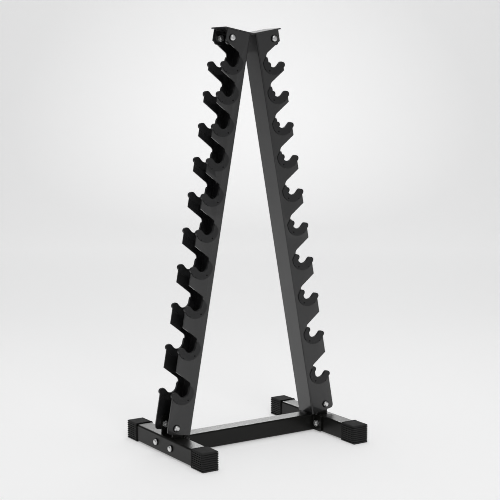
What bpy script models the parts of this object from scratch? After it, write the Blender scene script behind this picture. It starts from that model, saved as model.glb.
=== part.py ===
"""Ten-tier dumbbell rack: two leaning notched channels on a bolted H-shaped base.

Metres, +Z up. X runs along the crossbar, Y from front to rear, and the origin is on the
floor under the middle of the rack. The rack is the same front and rear, so the left side is
the right side turned half a turn about Z: both are built by the same functions.
"""

import math

import bmesh
import bpy

# ---- square tube of the base ----
TUBE_SIDE = 0.050
TUBE_WALL = 0.003
TUBE_CORNER = 0.005
FOOT_SPACING = 0.517  # between the centre lines of the two feet
FOOT_LENGTH = 0.436  # over the rubber caps

# ---- rubber caps ----
CAP_WALL = 0.0025
CAP_END_WALL = 0.005
CAP_LENGTH = 0.058
GROOVES = 10
GROOVE_WIDTH = 0.0018
GROOVE_DEPTH = 0.0012

# ---- upright channels ----
CHANNEL_DEPTH = 0.075  # over both flanges
SHEET = 0.004
BEND_RADIUS = 0.007  # outside of the bend between web and flange
BOTTOM_CORNER = 0.010
CHANNEL_TO_TUBE = 0.002  # under the lowest edge of the web
APEX_GAP = 0.0174  # between the two webs at the top

# ---- notches, measured from the tip of the hook ----
FIRST_TIER = 0.100  # hook tip below the top of the channel
TIER_PITCHES = (0.085, 0.092, 0.098, 0.101, 0.103, 0.106, 0.112, 0.120, 0.128)
BELOW_LAST_TIER = 0.110  # from the lowest hook tip to the end of the channel
SEAT_RADIUS = 0.0205
SEAT_RISE = 0.015  # the seat's centre stands this far above the hook's centre
WALL_BEHIND_SEAT = 0.024  # metal left between the notch and the back of the web
LIP = 0.013  # from the seat's full width to the teeth
HOOK_RADIUS = 0.0045
HOOK_OUTER_ANGLE = 8.0  # degrees, where the hook's round meets the flange's edge
TOOTH_FACE = 0.017  # height of the shortest tooth's outer edge, down to the next mouth
MOUTH_ANGLE = math.radians(62)  # the mouth's sloping edge, against the channel's axis
THROAT_RADIUS = 0.014

# ---- plastic saddles ----
SADDLE_WALL = 0.0038
CHEEK = 0.002
CHEEK_BAND = 0.016  # how much larger the cheek's round is than the seat's
CHEEK_DROP = 0.0027  # the cheek's centre lies this far below the seat's centre
CHEEK_SHIFT = 0.0025  # and this far towards the teeth
CHEEK_START = -34.0  # degrees round the cheek's centre, below the hook
CHEEK_END = -188.0  # and behind the notch's back wall
HOOK_COVER_END = -55.0  # degrees round the hook's centre, where the cover ends
ARM_BELOW_THROAT = 0.0004  # the saddle's upper end lies this far below the throat

# ---- top bracket ----
PLATE = 0.004
PLATE_OVERHANG = 0.008
PLATE_SIDE_MARGIN = 0.002
EAR = 0.005
TOP_EAR_WIDTH = 0.032
TOP_EAR_LENGTH = 0.042

# ---- base ears on each foot ----
BASE_EAR_WIDTH = 0.034
BASE_EAR_HEIGHT = 0.052
BASE_EAR_EDGE = 0.010  # from the base bolt's axis to the ear's outer edge

# ---- crossbar ----
END_PLATE = 0.005
END_PLATE_EDGE = 0.018  # from a crossbar bolt's axis to the plate's end
END_PLATE_MARGIN = 0.001  # the plate stops this far inside the tube's height
VENT_RADIUS = 0.010

# ---- bolts ----
BOLT_RADIUS = 0.005
BOLT_CLEARANCE = 0.0005  # between a bolt and its hole
HEAD_RADIUS = 0.009
HEAD_HEIGHT = 0.0055
WASHER_RADIUS = 0.0105
WASHER = 0.0015
NUT_ACROSS_FLATS = 0.017
NUT_HEIGHT = 0.008
BOLT_PAST_NUT = 0.003
TOP_BOLT_DROP = 0.022  # below the top of the channel
TOP_BOLT_INSET = 0.019  # from the teeth
BASE_BOLT_RISE = 0.018  # above the lower end of the channel
BASE_BOLT_INSET = 0.0275
BASE_BOLT_OUTSET = 0.0032  # outside the foot's centre line
CROSSBAR_BOLT_SPACING = 0.084
BOLT_TIE = 0.006  # side of the bar that joins a pair of crossbar bolts into one piece

GAP = 0.0003  # between pieces that touch
CUT_MARGIN = 0.020
WELD_DISTANCE = 0.000002
WELD_BITE = 0.001  # how far a welded piece runs into its neighbour

# ---- steps in round outlines ----
CORNER_STEPS = 3
THROAT_STEPS = 3
SEAT_STEPS = 7
HOOK_STEPS = 3
CHEEK_STEPS = 7
DOME_STEPS = 3
TURNED_STEPS = 12
SHARP_ANGLE = math.radians(35)

# ---- derived sizes ----
FLANGE_WIDTH = WALL_BEHIND_SEAT + 2 * SEAT_RADIUS + LIP  # back of the web to the teeth
UPRIGHT_LENGTH = FIRST_TIER + sum(TIER_PITCHES) + BELOW_LAST_TIER
MOUTH_RISE = min(TIER_PITCHES) - TOOTH_FACE  # the mouth's corner, above the hook's centre
CHEEK_RADIUS = SEAT_RADIUS + CHEEK_BAND
SADDLE_THICKNESS = SHEET + 2 * (GAP + CHEEK)
BOLT_HOLE_RADIUS = BOLT_RADIUS + BOLT_CLEARANCE
TOP_BOLT_SET = FLANGE_WIDTH - TOP_BOLT_INSET  # from the back of the web
BASE_BOLT_SET = FLANGE_WIDTH - BASE_BOLT_INSET
BASE_BOLT_DROP = UPRIGHT_LENGTH - BASE_BOLT_RISE  # below the top of the channel
END_PLATE_LENGTH = CROSSBAR_BOLT_SPACING + 2 * END_PLATE_EDGE

# ---- derived places ----
FOOT_OFFSET = FOOT_SPACING / 2
FLOOR_TO_TUBE = CAP_WALL
TUBE_TOP = FLOOR_TO_TUBE + TUBE_SIDE
TUBE_CENTRE = FLOOR_TO_TUBE + TUBE_SIDE / 2
FLANGE_MIDDLE = CHANNEL_DEPTH / 2 - SHEET / 2
EAR_MIDDLE = CHANNEL_DEPTH / 2 - SHEET - GAP - EAR / 2
TOP_X = APEX_GAP / 2
LEAN_REACH = FOOT_OFFSET + BASE_BOLT_OUTSET - TOP_X
# the lean at which each base bolt stands over its foot
LEAN = math.atan2(BASE_BOLT_DROP, BASE_BOLT_SET) - math.acos(
    LEAN_REACH / math.hypot(BASE_BOLT_DROP, BASE_BOLT_SET)
)
TOP_Z = TUBE_TOP + CHANNEL_TO_TUBE + UPRIGHT_LENGTH * math.cos(LEAN)
SIDES = (("right", 0.0), ("left", math.pi))
ENDS = (("front", -1), ("rear", 1))


def clear_scene():
    """Remove every object that is in the scene."""
    for obj in list(bpy.data.objects):
        bpy.data.objects.remove(obj, do_unlink=True)


def new_collection(name):
    """A collection in the scene."""
    collection = bpy.data.collections.new(name)
    bpy.context.scene.collection.children.link(collection)
    return collection


def new_material(name, colour, roughness, metallic):
    """A Principled material of one colour."""
    material = bpy.data.materials.new(name)
    material.use_nodes = True
    shader = material.node_tree.nodes["Principled BSDF"]
    shader.inputs["Base Color"].default_value = (*colour, 1.0)
    shader.inputs["Roughness"].default_value = roughness
    shader.inputs["Metallic"].default_value = metallic
    return material


clear_scene()
PARTS = new_collection("dumbbell_rack")
CUTTERS = new_collection("cutters")
CUTTERS.hide_render = True
POWDER_COAT = new_material("black_powder_coat", (0.042, 0.042, 0.045), 0.42, 0.0)
SADDLE_PLASTIC = new_material("black_nylon", (0.036, 0.036, 0.036), 0.55, 0.0)
CAP_RUBBER = new_material("black_rubber", (0.024, 0.024, 0.024), 0.75, 0.0)
ZINC = new_material("zinc_plate", (0.72, 0.72, 0.70), 0.25, 1.0)


# ---- outlines ----


def arc(centre, radius, start, end, steps):
    """Points along an arc, from the angle start to the angle end in degrees."""
    angles = [math.radians(start + (end - start) * i / steps) for i in range(steps + 1)]
    return [
        (centre[0] + radius * math.cos(a), centre[1] + radius * math.sin(a)) for a in angles
    ]


def rounded_rectangle(width, height, radius):
    """An outline about the origin, anticlockwise."""
    points = []
    corners = ((1, 1, 0), (-1, 1, 90), (-1, -1, 180), (1, -1, 270))
    for side_x, side_y, start in corners:
        centre = (side_x * (width / 2 - radius), side_y * (height / 2 - radius))
        points += arc(centre, radius, start, start + 90, CORNER_STEPS)
    return points


def rectangle(left, right, bottom, top):
    """An outline between four sides, anticlockwise."""
    return [(left, bottom), (right, bottom), (right, top), (left, top)]


def cross_tangent(hollow_centre, hollow_radius, hook_centre, hook_radius):
    """The angle, in degrees, at which one straight line leaves the hollow for the hook."""
    across = hook_centre[0] - hollow_centre[0]
    rise = hook_centre[1] - hollow_centre[1]
    distance = math.hypot(across, rise)
    turn = math.degrees(math.acos((hollow_radius + hook_radius) / distance))
    return math.degrees(math.atan2(rise, across)) - turn


# The outlines below lie in a flange: the first value runs from the back of the web towards
# the teeth, and the second runs up the channel from the hook's centre.
HOOK_CENTRE = (FLANGE_WIDTH - HOOK_RADIUS, 0.0)
SEAT_CENTRE = (WALL_BEHIND_SEAT + SEAT_RADIUS, SEAT_RISE)
CHEEK_CENTRE = (SEAT_CENTRE[0] + CHEEK_SHIFT, SEAT_CENTRE[1] - CHEEK_DROP)
LEAVE_SEAT = cross_tangent(SEAT_CENTRE, SEAT_RADIUS, HOOK_CENTRE, HOOK_RADIUS)


def hook_and_seat(offset, hook_end):
    """The supporting edge from the notch's back wall to the hook, moved into the notch."""
    seat = arc(SEAT_CENTRE, SEAT_RADIUS - offset, -180, LEAVE_SEAT, SEAT_STEPS)
    hook = arc(HOOK_CENTRE, HOOK_RADIUS + offset, LEAVE_SEAT + 180, hook_end, HOOK_STEPS)
    return seat + hook


def throat_centre():
    """The centre of a round that touches the mouth's slope and the notch's back wall."""
    centre_u = WALL_BEHIND_SEAT + THROAT_RADIUS
    touch_u = centre_u - THROAT_RADIUS * math.cos(MOUTH_ANGLE)
    touch_z = MOUTH_RISE - (FLANGE_WIDTH - touch_u) / math.tan(MOUTH_ANGLE)
    return centre_u, touch_z - THROAT_RADIUS * math.sin(MOUTH_ANGLE)


def throat():
    """The round between the mouth's sloping edge and the notch's back wall."""
    start = 180 - math.degrees(MOUTH_ANGLE)
    return arc(throat_centre(), THROAT_RADIUS, start, 180, THROAT_STEPS)


def notch_outline():
    """One notch as a closed cutter outline that runs out past the teeth."""
    outside = FLANGE_WIDTH + CUT_MARGIN
    slope_rise = CUT_MARGIN / math.tan(MOUTH_ANGLE)
    points = [(outside, MOUTH_RISE + slope_rise)]
    points += throat()
    points += hook_and_seat(0.0, HOOK_OUTER_ANGLE)
    points.append((outside, HOOK_RADIUS * math.sin(math.radians(HOOK_OUTER_ANGLE))))
    return points


def saddle_outline():
    """The saddle's cheek: its seat and hook side, then its round outer side."""
    arm_end = throat_centre()[1] - ARM_BELOW_THROAT
    points = [(WALL_BEHIND_SEAT + SADDLE_WALL, arm_end)]
    points += hook_and_seat(SADDLE_WALL, HOOK_COVER_END)
    points += arc(CHEEK_CENTRE, CHEEK_RADIUS, CHEEK_START, CHEEK_END, CHEEK_STEPS)
    points.append((WALL_BEHIND_SEAT - CHEEK, arm_end))
    return points


def saddle_slot_outline():
    """The metal that the saddle clips over, larger by the gap."""
    inner = WALL_BEHIND_SEAT + GAP
    far = CHEEK_RADIUS + MOUTH_RISE
    points = [(inner, far)]
    points += hook_and_seat(GAP, 0)
    points += [(FLANGE_WIDTH + GAP, -far), (-far, -far), (-far, far)]
    return points


def channel_outline():
    """The channel's section, in the plane across its axis."""
    half = CHANNEL_DEPTH / 2
    inner_radius = BEND_RADIUS - SHEET
    centre_low = (BEND_RADIUS, -half + BEND_RADIUS)
    centre_high = (BEND_RADIUS, half - BEND_RADIUS)
    points = [(FLANGE_WIDTH, half)]
    points += arc(centre_high, BEND_RADIUS, 90, 180, CORNER_STEPS)
    points += arc(centre_low, BEND_RADIUS, 180, 270, CORNER_STEPS)
    points += [(FLANGE_WIDTH, -half), (FLANGE_WIDTH, -half + SHEET)]
    points += arc(centre_low, inner_radius, 270, 180, CORNER_STEPS)
    points += arc(centre_high, inner_radius, 180, 90, CORNER_STEPS)
    points.append((FLANGE_WIDTH, half - SHEET))
    return points


def bottom_corner_outline():
    """What the rounded lower corner of each flange loses."""
    centre = (FLANGE_WIDTH - BOTTOM_CORNER, BOTTOM_CORNER - UPRIGHT_LENGTH)
    outside = (FLANGE_WIDTH + CUT_MARGIN, -UPRIGHT_LENGTH - CUT_MARGIN)
    points = arc(centre, BOTTOM_CORNER, 0, -90, CORNER_STEPS)
    return points + [(points[-1][0], outside[1]), outside, (outside[0], points[0][1])]


# ---- solids ----


def register(obj, collection, material=None, parent=None):
    """Put an object in its collection, with its material and its parent."""
    if material:
        obj.data.materials.clear()
        obj.data.materials.append(material)
    if collection == CUTTERS:
        obj.hide_render = True
        obj.display_type = "WIRE"
    if obj.name not in collection.objects:
        collection.objects.link(obj)
    obj.parent = parent
    return obj


def evaluated_mesh(obj, name):
    """A mesh of the object with its modifiers applied and its loose caps welded."""
    bpy.context.view_layer.update()
    graph = bpy.context.evaluated_depsgraph_get()
    mesh = bpy.data.meshes.new_from_object(obj.evaluated_get(graph))
    mesh.name = name
    shape = bmesh.new()
    shape.from_mesh(mesh)
    bmesh.ops.remove_doubles(shape, verts=shape.verts, dist=WELD_DISTANCE)
    bmesh.ops.recalc_face_normals(shape, faces=shape.faces)
    shape.to_mesh(mesh)
    shape.free()
    return mesh


def extruded(name, outlines, thickness, location=(0, 0, 0), rotation=(0, 0, 0)):
    """A flat 2D curve, filled and extruded, made a mesh. An outline inside another is a hole."""
    curve = bpy.data.curves.new(name, "CURVE")
    curve.dimensions = "2D"
    curve.fill_mode = "BOTH"
    curve.extrude = thickness / 2
    for outline in outlines:
        spline = curve.splines.new("POLY")
        spline.points.add(len(outline) - 1)
        for point, (x, y) in zip(spline.points, outline):
            point.co = (x, y, 0, 1)
        spline.use_cyclic_u = True
    flat = bpy.data.objects.new(name + "_outline", curve)
    flat.location = location
    flat.rotation_euler = rotation
    bpy.context.scene.collection.objects.link(flat)
    obj = bpy.data.objects.new(name, evaluated_mesh(flat, name))
    obj.matrix_world = flat.matrix_world
    bpy.data.objects.remove(flat)
    bpy.data.curves.remove(curve)
    return obj


UPRIGHT_PLANE = (math.pi / 2, 0, 0)  # an outline's second value becomes height
ALONG_X = (math.pi / 2, 0, math.pi / 2)  # and its first becomes depth


def box(name, low, high):
    """A rectangular block between two corners."""
    shape = bmesh.new()
    bmesh.ops.create_cube(shape, size=1)
    for vert in shape.verts:
        for axis in range(3):
            vert.co[axis] = low[axis] if vert.co[axis] < 0 else high[axis]
    mesh = bpy.data.meshes.new(name)
    shape.to_mesh(mesh)
    shape.free()
    return bpy.data.objects.new(name, mesh)


def cylinder(name, radius, length, sides, location, rotation):
    """A cylinder or a prism about its own Z axis, centred on its location."""
    shape = bmesh.new()
    bmesh.ops.create_cone(
        shape,
        cap_ends=True,
        segments=sides,
        radius1=radius,
        radius2=radius,
        depth=length,
    )
    mesh = bpy.data.meshes.new(name)
    shape.to_mesh(mesh)
    shape.free()
    obj = bpy.data.objects.new(name, mesh)
    obj.location = location
    obj.rotation_euler = rotation
    return obj


def boolean(target, other, operation):
    """Join another object to the target, or cut it away, with a modifier."""
    modifier = target.modifiers.new(operation.lower() + "_" + other.name, "BOOLEAN")
    modifier.operation = operation
    modifier.solver = "EXACT"
    modifier.object = other


def smooth_rounds(mesh):
    """Shade a turned mesh smooth, except at its edges."""
    mesh.shade_smooth()
    mesh.set_sharp_from_angle(angle=SHARP_ANGLE)


def frame_empty(name, location, rotation):
    """An empty that holds the pieces of one side."""
    empty = bpy.data.objects.new(name, None)
    empty.location = location
    empty.rotation_euler = rotation
    PARTS.objects.link(empty)
    return empty


# ---- uprights ----


def hook_drops():
    """How far each hook's centre lies below the top of the channel."""
    drops = [FIRST_TIER]
    for pitch in TIER_PITCHES:
        drops.append(drops[-1] + pitch)
    return drops


def notch_cutter(side, leaning):
    """All notches of one upright and its rounded lower corners, through both flanges."""
    outlines = [[(u, z - drop) for u, z in notch_outline()] for drop in hook_drops()]
    outlines.append(bottom_corner_outline())
    depth = CHANNEL_DEPTH + 2 * CUT_MARGIN
    cutter = extruded(side + "_notches", outlines, depth, rotation=UPRIGHT_PLANE)
    return register(cutter, CUTTERS, parent=leaning)


def flange_bolt_cutter(side, name, across, down, leaning):
    """One long drill through both flanges, and through the ears inside them."""
    length = CHANNEL_DEPTH + 2 * CUT_MARGIN
    drill = cylinder(
        side + "_" + name + "_drill",
        BOLT_HOLE_RADIUS,
        length,
        TURNED_STEPS,
        (across, 0, -down),
        (math.pi / 2, 0, 0),
    )
    return register(drill, CUTTERS, parent=leaning)


def make_upright(side, leaning, drills):
    """A sheet channel whose web faces the other upright, with ten hooks on each flange."""
    upright = extruded(
        side + "_upright",
        [channel_outline()],
        UPRIGHT_LENGTH,
        location=(0, 0, -UPRIGHT_LENGTH / 2),
    )
    register(upright, PARTS, POWDER_COAT, leaning)
    boolean(upright, notch_cutter(side, leaning), "DIFFERENCE")
    for drill in drills:
        boolean(upright, drill, "DIFFERENCE")


# ---- saddles ----


def make_saddle_mesh():
    """One saddle: a crescent that clips over the hook and both faces of the flange."""
    blank = extruded(
        "saddle_blank", [saddle_outline()], SADDLE_THICKNESS, rotation=UPRIGHT_PLANE
    )
    slot = extruded(
        "saddle_slot", [saddle_slot_outline()], SHEET + 2 * GAP, rotation=UPRIGHT_PLANE
    )
    register(blank, CUTTERS, SADDLE_PLASTIC)
    register(slot, CUTTERS)
    boolean(blank, slot, "DIFFERENCE")
    mesh = evaluated_mesh(blank, "saddle")
    mesh.transform(blank.matrix_world)
    bpy.data.objects.remove(blank)
    bpy.data.objects.remove(slot)
    return mesh


def place_saddles(side, mesh, leaning, turned):
    """One saddle on every hook of both flanges."""
    for end, sign in ENDS:
        for tier, drop in enumerate(hook_drops(), start=1):
            saddle = bpy.data.objects.new(f"{side}_{end}_saddle_{tier:02d}", mesh)
            register(saddle, PARTS, parent=leaning)
            saddle.location = (0, sign * turned * FLANGE_MIDDLE, -drop)


# ---- bolts ----


def bolt_mesh(name, grip):
    """A domed bolt with its washer and nut, head up, with its seat on the plane z = 0."""
    tip = -grip - NUT_HEIGHT - BOLT_PAST_NUT
    profile = [(0.0, WASHER + HEAD_HEIGHT)]
    for i in range(1, DOME_STEPS + 1):
        angle = math.pi / 2 * i / DOME_STEPS
        profile.append(
            (HEAD_RADIUS * math.sin(angle), WASHER + HEAD_HEIGHT * math.cos(angle))
        )
    profile += [(WASHER_RADIUS, WASHER), (WASHER_RADIUS, 0.0), (BOLT_RADIUS, 0.0)]
    profile += [(BOLT_RADIUS, tip), (0.0, tip)]
    mesh = bpy.data.meshes.new(name + "_profile")
    edges = [(i, i + 1) for i in range(len(profile) - 1)]
    mesh.from_pydata([(x, 0, z) for x, z in profile], edges, [])
    bolt = bpy.data.objects.new(name + "_master", mesh)
    register(bolt, CUTTERS)
    screw = bolt.modifiers.new("turn", "SCREW")
    screw.steps = TURNED_STEPS
    screw.render_steps = TURNED_STEPS
    screw.use_merge_vertices = True
    screw.merge_threshold = WELD_DISTANCE
    nut = cylinder(
        name + "_nut",
        NUT_ACROSS_FLATS / math.sqrt(3),
        NUT_HEIGHT,
        6,
        (0, 0, -grip - NUT_HEIGHT / 2),
        (0, 0, 0),
    )
    register(nut, CUTTERS)
    boolean(bolt, nut, "UNION")
    joined = evaluated_mesh(bolt, name)
    joined.materials.clear()
    joined.materials.append(ZINC)
    smooth_rounds(joined)
    bpy.data.objects.remove(bolt)
    bpy.data.objects.remove(nut)
    return joined


def place_flange_bolts(side, name, mesh, across, down, leaning, turned):
    """A bolt through the front flange and one through the rear flange."""
    for end, sign in ENDS:
        outward = sign * turned
        bolt = bpy.data.objects.new(f"{side}_{end}_{name}_bolt", mesh)
        register(bolt, PARTS, parent=leaning)
        bolt.location = (across, outward * (CHANNEL_DEPTH / 2 + GAP), -down)
        bolt.rotation_euler = (-outward * math.pi / 2, 0, 0)


def crossbar_bolt_pair_mesh():
    """Both crossbar bolts of a foot, tied into one solid inside the foot's hollow."""
    grip = GAP + TUBE_SIDE + GAP + END_PLATE + GAP
    single = bolt_mesh("crossbar_bolt", grip)
    half = CROSSBAR_BOLT_SPACING / 2
    first = bpy.data.objects.new("first_crossbar_bolt", single)
    second = bpy.data.objects.new("second_crossbar_bolt", single)
    first.location = (0, half, 0)
    second.location = (0, -half, 0)
    middle = -GAP - TUBE_SIDE / 2
    tie = box(
        "bolt_tie",
        (-BOLT_TIE / 2, -half, middle - BOLT_TIE / 2),
        (BOLT_TIE / 2, half, middle + BOLT_TIE / 2),
    )
    for helper in (first, second, tie):
        register(helper, CUTTERS)
    boolean(first, second, "UNION")
    boolean(first, tie, "UNION")
    mesh = evaluated_mesh(first, "crossbar_bolts")
    mesh.transform(first.matrix_world)
    for helper in (first, second, tie):
        bpy.data.objects.remove(helper)
    return mesh


# ---- feet, caps and crossbar ----


def tube_outlines():
    """The section of the square tube, with its hollow."""
    hollow = TUBE_SIDE - 2 * TUBE_WALL
    return [
        rounded_rectangle(TUBE_SIDE, TUBE_SIDE, TUBE_CORNER),
        rounded_rectangle(hollow, hollow, TUBE_CORNER - TUBE_WALL),
    ]


def make_foot(side, standing, crossbar_drills, base_drill):
    """A square tube from front to rear, with two ears welded on top of its middle."""
    length = FOOT_LENGTH - 2 * CAP_END_WALL - 2 * GAP
    foot = extruded(
        side + "_foot",
        tube_outlines(),
        length,
        location=(0, 0, TUBE_CENTRE),
        rotation=UPRIGHT_PLANE,
    )
    register(foot, PARTS, POWDER_COAT, standing)
    outer = BASE_BOLT_OUTSET + BASE_EAR_EDGE
    for end, sign in ENDS:
        ear = box(
            f"{side}_{end}_base_ear",
            (outer - BASE_EAR_WIDTH, sign * EAR_MIDDLE - EAR / 2, TUBE_TOP - WELD_BITE),
            (outer, sign * EAR_MIDDLE + EAR / 2, TUBE_TOP + BASE_EAR_HEIGHT),
        )
        register(ear, CUTTERS, parent=standing)
        boolean(foot, ear, "UNION")
    for drill in (*crossbar_drills, base_drill):
        boolean(foot, drill, "DIFFERENCE")


def crossbar_bolt_cutters(side, standing):
    """The two drills through a foot and the end plate of the crossbar."""
    drills = []
    for end, sign in ENDS:
        drill = cylinder(
            f"{side}_{end}_crossbar_drill",
            BOLT_HOLE_RADIUS,
            TUBE_SIDE + 2 * CUT_MARGIN,
            TURNED_STEPS,
            (0, sign * CROSSBAR_BOLT_SPACING / 2, TUBE_CENTRE),
            (0, math.pi / 2, 0),
        )
        drills.append(register(drill, CUTTERS, parent=standing))
    return drills


def make_cap_mesh():
    """A ribbed sleeve that closes a tube's end at +Y, with its mouth at y = 0."""
    outer = TUBE_SIDE + 2 * CAP_WALL
    half = outer / 2
    cap = box("cap_master", (-half, 0, 0), (half, CAP_LENGTH, outer))
    pocket_half = TUBE_SIDE / 2 + GAP
    pocket = box(
        "cap_pocket",
        (-pocket_half, -CUT_MARGIN, TUBE_CENTRE - pocket_half),
        (pocket_half, CAP_LENGTH - CAP_END_WALL, TUBE_CENTRE + pocket_half),
    )
    reach = half - GROOVE_DEPTH
    pitch = outer / (GROOVES + 1)
    rings = extruded(
        "cap_grooves",
        [
            rectangle(-outer, outer, -2 * CUT_MARGIN, CAP_LENGTH + CUT_MARGIN),
            rectangle(-reach, reach, -CUT_MARGIN, CAP_LENGTH - GROOVE_DEPTH),
        ],
        GROOVE_WIDTH,
        location=(0, 0, pitch),
    )
    stack = rings.modifiers.new("stack", "ARRAY")
    stack.count = GROOVES
    stack.use_relative_offset = False
    stack.use_constant_offset = True
    stack.constant_offset_displace = (0, 0, pitch)
    for helper in (cap, pocket, rings):
        register(helper, CUTTERS)
    boolean(cap, pocket, "DIFFERENCE")
    boolean(cap, rings, "DIFFERENCE")
    mesh = evaluated_mesh(cap, "foot_cap")
    mesh.materials.append(CAP_RUBBER)
    for helper in (cap, pocket, rings):
        bpy.data.objects.remove(helper)
    return mesh


def place_caps(side, mesh, standing, turned):
    """A cap over the front end and the rear end of a foot."""
    for end, sign in ENDS:
        outward = sign * turned
        cap = bpy.data.objects.new(f"{side}_{end}_foot_cap", mesh)
        register(cap, PARTS, parent=standing)
        cap.location = (0, outward * (FOOT_LENGTH / 2 - CAP_LENGTH), 0)
        cap.rotation_euler = (0, 0, 0 if outward > 0 else math.pi)


def make_crossbar(drills):
    """The tube between the feet, with a plate welded on each end and vented through it."""
    end = FOOT_OFFSET - TUBE_SIDE / 2 - GAP
    crossbar = extruded(
        "crossbar",
        tube_outlines(),
        2 * (end - END_PLATE + WELD_BITE),
        location=(0, 0, TUBE_CENTRE),
        rotation=ALONG_X,
    )
    register(crossbar, PARTS, POWDER_COAT)
    for side, turn in SIDES:
        sign = round(math.cos(turn))
        inner = sign * (end - END_PLATE)
        outer = sign * end
        plate = box(
            side + "_end_plate",
            (min(inner, outer), -END_PLATE_LENGTH / 2, FLOOR_TO_TUBE + END_PLATE_MARGIN),
            (max(inner, outer), END_PLATE_LENGTH / 2, TUBE_TOP - END_PLATE_MARGIN),
        )
        register(plate, CUTTERS)
        boolean(crossbar, plate, "UNION")
        vent = cylinder(
            side + "_vent",
            VENT_RADIUS,
            2 * CUT_MARGIN,
            TURNED_STEPS,
            (sign * end, 0, TUBE_CENTRE),
            (0, math.pi / 2, 0),
        )
        register(vent, CUTTERS)
        boolean(crossbar, vent, "DIFFERENCE")
    for drill in drills:
        boolean(crossbar, drill, "DIFFERENCE")


# ---- top bracket ----


def leaning_point(across, up):
    """A point of the right upright's own frame, as world X and Z."""
    x = TOP_X + across * math.cos(LEAN) - up * math.sin(LEAN)
    z = TOP_Z + across * math.sin(LEAN) + up * math.cos(LEAN)
    return x, z


def vee_point(up):
    """Where a line across the right upright's end reaches the middle of the rack."""
    across = (up * math.sin(LEAN) - TOP_X) / math.cos(LEAN)
    return 0.0, leaning_point(across, up)[1]


def make_top_bracket(frames, drills):
    """A shallow V plate over both channels, with an ear inside each of their flanges."""
    tip = FLANGE_WIDTH + PLATE_OVERHANG
    under = GAP
    over = GAP + PLATE
    right = [leaning_point(tip, under), leaning_point(tip, over)]
    left = [(-x, z) for x, z in reversed(right)]
    outline = [*right, vee_point(over), *left, vee_point(under)]
    bracket = extruded(
        "top_bracket",
        [outline],
        CHANNEL_DEPTH + 2 * PLATE_SIDE_MARGIN,
        rotation=UPRIGHT_PLANE,
    )
    register(bracket, PARTS, POWDER_COAT)
    for side, leaning in frames.items():
        for end, sign in ENDS:
            ear = box(
                f"{side}_{end}_top_ear",
                (
                    TOP_BOLT_SET - TOP_EAR_WIDTH / 2,
                    sign * EAR_MIDDLE - EAR / 2,
                    -TOP_EAR_LENGTH,
                ),
                (
                    TOP_BOLT_SET + TOP_EAR_WIDTH / 2,
                    sign * EAR_MIDDLE + EAR / 2,
                    GAP + WELD_BITE,
                ),
            )
            register(ear, CUTTERS, parent=leaning)
            boolean(bracket, ear, "UNION")
    for drill in drills:
        boolean(bracket, drill, "DIFFERENCE")


# ---- assembly ----


def main():
    """Build both sides, then the crossbar and the bracket that join them."""
    saddle_mesh = make_saddle_mesh()
    flange_grip = GAP + SHEET + GAP + EAR + GAP
    flange_bolt = bolt_mesh("flange_bolt", flange_grip)
    crossbar_bolts = crossbar_bolt_pair_mesh()
    cap_mesh = make_cap_mesh()
    frames = {}
    top_drills = []
    bar_drills = []
    for side, turn in SIDES:
        turned = round(math.cos(turn))
        leaning = frame_empty(side + "_lean", (turned * TOP_X, 0, TOP_Z), (0, -LEAN, turn))
        standing = frame_empty(side + "_base", (turned * FOOT_OFFSET, 0, 0), (0, 0, turn))
        top_drill = flange_bolt_cutter(side, "top", TOP_BOLT_SET, TOP_BOLT_DROP, leaning)
        base_drill = flange_bolt_cutter(side, "base", BASE_BOLT_SET, BASE_BOLT_DROP, leaning)
        foot_drills = crossbar_bolt_cutters(side, standing)
        make_upright(side, leaning, (top_drill, base_drill))
        place_saddles(side, saddle_mesh, leaning, turned)
        make_foot(side, standing, foot_drills, base_drill)
        place_caps(side, cap_mesh, standing, turned)
        place_flange_bolts(
            side, "top", flange_bolt, TOP_BOLT_SET, TOP_BOLT_DROP, leaning, turned
        )
        place_flange_bolts(
            side, "base", flange_bolt, BASE_BOLT_SET, BASE_BOLT_DROP, leaning, turned
        )
        pair = bpy.data.objects.new(side + "_crossbar_bolts", crossbar_bolts)
        register(pair, PARTS, parent=standing)
        pair.location = (TUBE_SIDE / 2 + GAP, 0, TUBE_CENTRE)
        pair.rotation_euler = (0, math.pi / 2, 0)
        frames[side] = leaning
        top_drills.append(top_drill)
        bar_drills += foot_drills
    make_crossbar(bar_drills)
    make_top_bracket(frames, top_drills)


main()
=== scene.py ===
"""An A-frame dumbbell rack with its finishes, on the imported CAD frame, in a pale studio."""

import logging
import math
from collections.abc import Callable, Iterator, Sequence
from contextlib import contextmanager
from dataclasses import dataclass, field
from enum import Enum

import bmesh
import bpy
from mathutils import Euler, Matrix, Vector


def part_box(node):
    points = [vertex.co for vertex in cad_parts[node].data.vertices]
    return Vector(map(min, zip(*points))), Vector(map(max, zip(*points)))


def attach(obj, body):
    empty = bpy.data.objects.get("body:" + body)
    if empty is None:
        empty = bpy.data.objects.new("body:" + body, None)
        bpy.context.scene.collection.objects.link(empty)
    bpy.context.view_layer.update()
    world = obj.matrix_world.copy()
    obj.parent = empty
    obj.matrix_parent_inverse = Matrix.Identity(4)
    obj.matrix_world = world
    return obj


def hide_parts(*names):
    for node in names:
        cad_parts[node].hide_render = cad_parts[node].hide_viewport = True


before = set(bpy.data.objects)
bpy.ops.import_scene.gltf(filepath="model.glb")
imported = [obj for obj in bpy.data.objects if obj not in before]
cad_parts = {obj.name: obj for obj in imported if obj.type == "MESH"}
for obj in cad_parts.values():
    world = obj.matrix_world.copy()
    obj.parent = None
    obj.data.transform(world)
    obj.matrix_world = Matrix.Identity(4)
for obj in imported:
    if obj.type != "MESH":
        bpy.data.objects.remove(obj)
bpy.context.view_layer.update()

LOG = logging.getLogger("dumbbell_rack")
MM = 0.001
WELD_DISTANCE = 0.000002
FACING = 0.9  # how closely a normal agrees with a direction that is asked for
SAME_PLACE = 0.0001
SHARP_ANGLE = math.radians(32)
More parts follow.
